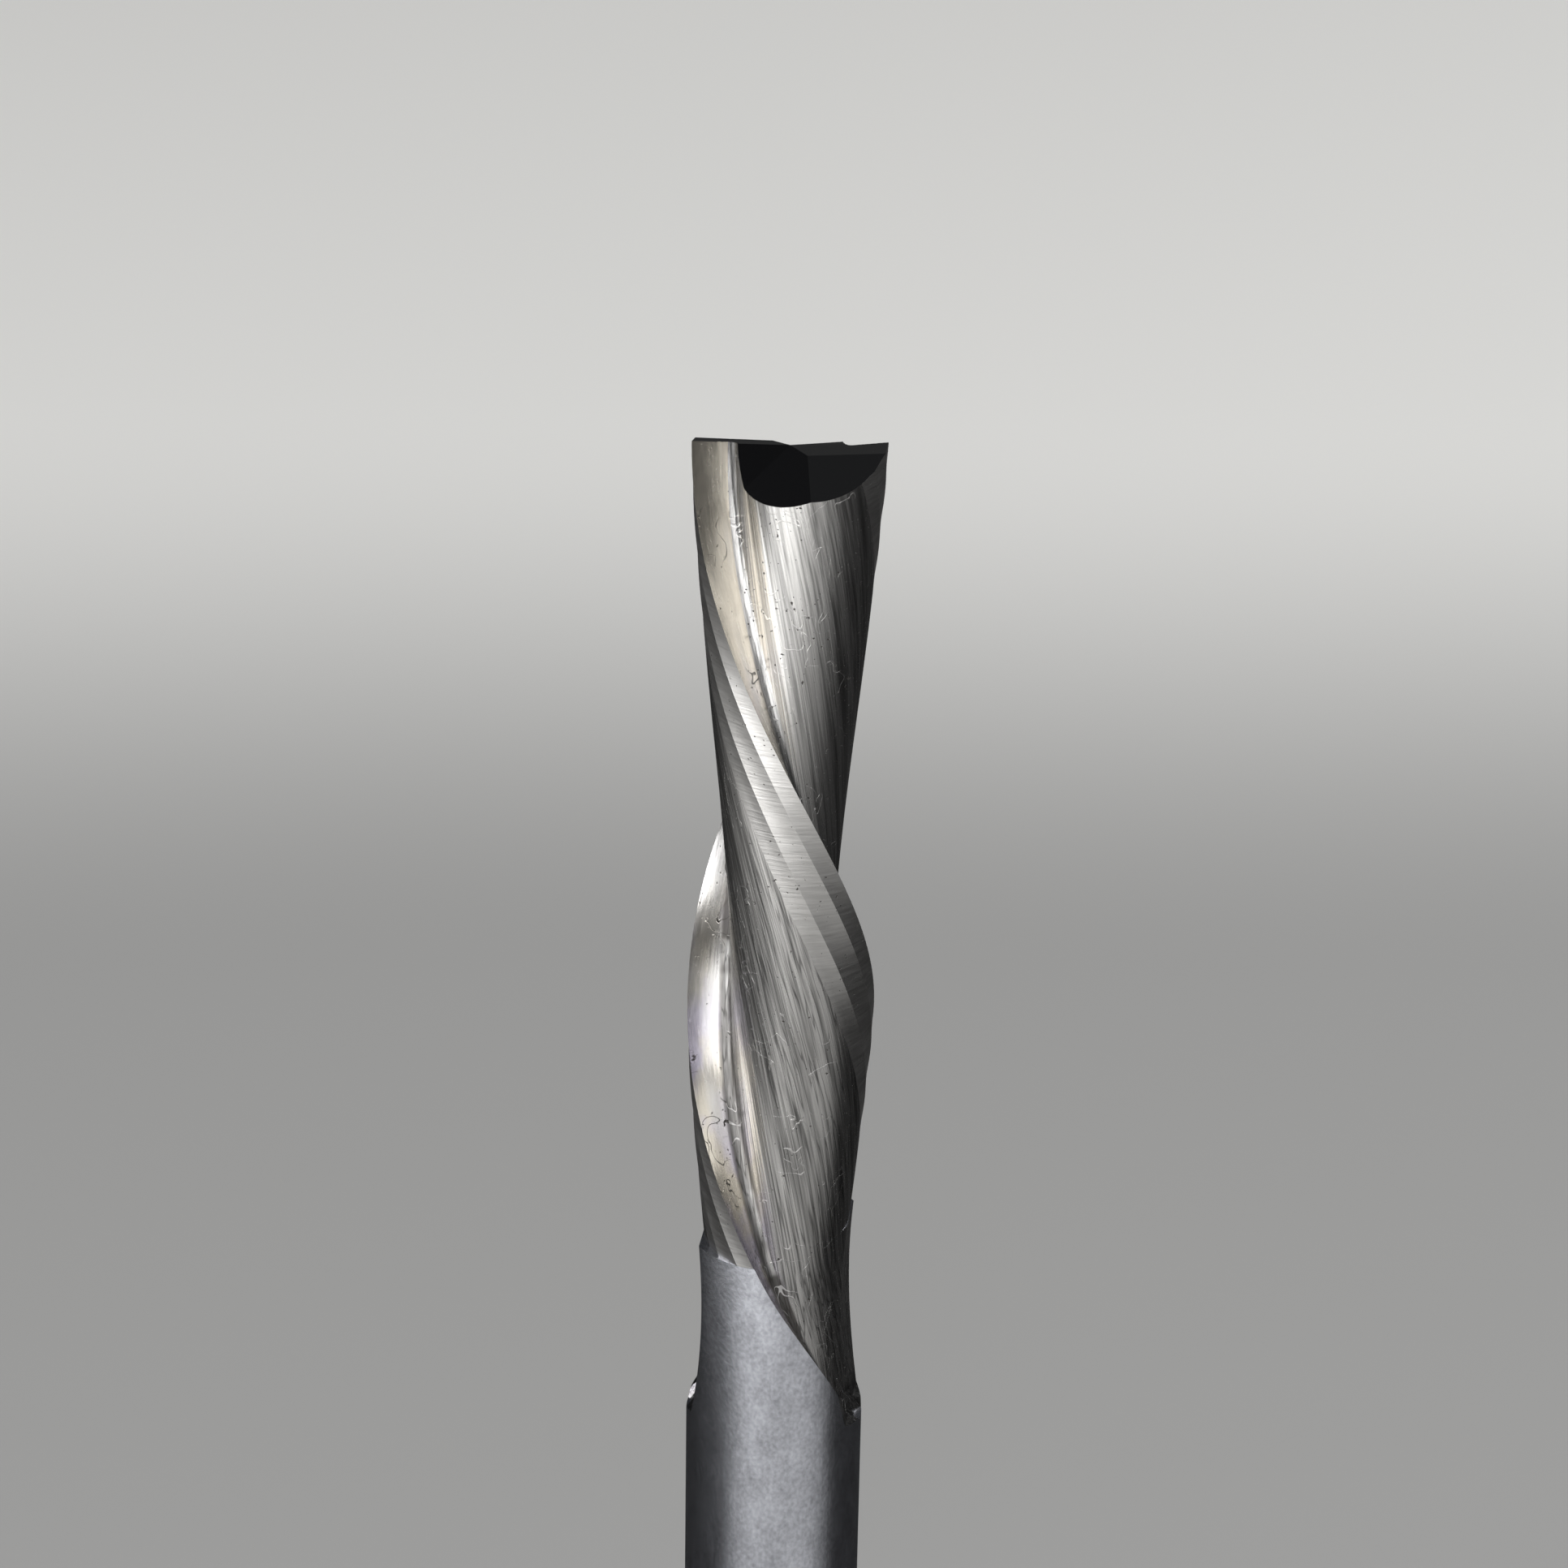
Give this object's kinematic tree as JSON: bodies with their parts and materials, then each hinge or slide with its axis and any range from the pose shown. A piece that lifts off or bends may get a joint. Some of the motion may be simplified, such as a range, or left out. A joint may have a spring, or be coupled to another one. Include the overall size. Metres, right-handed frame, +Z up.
{
  "type": "downcut spiral router bit",
  "caption": "Solid carbide spiral router bit: left-hand helical flutes with three-facet ground lands and a gashed end that push chips down, on a plain straight shank",
  "frame": {"origin": "centre of the shank's flat end, which is the bottom of the part", "axes": "+Z runs up the tool's axis from the shank end to the cutting tip; at the tip the two cutting edges lie along X"},
  "size_m": [0.0066, 0.0064, 0.0762],
  "materials": {
    "carbide": "ground tungsten carbide, satin on the shank and bright in the flutes"
  },
  "bodies": {
    "root": {"router_bit": "carbide"}
  },
  "joints": []
}
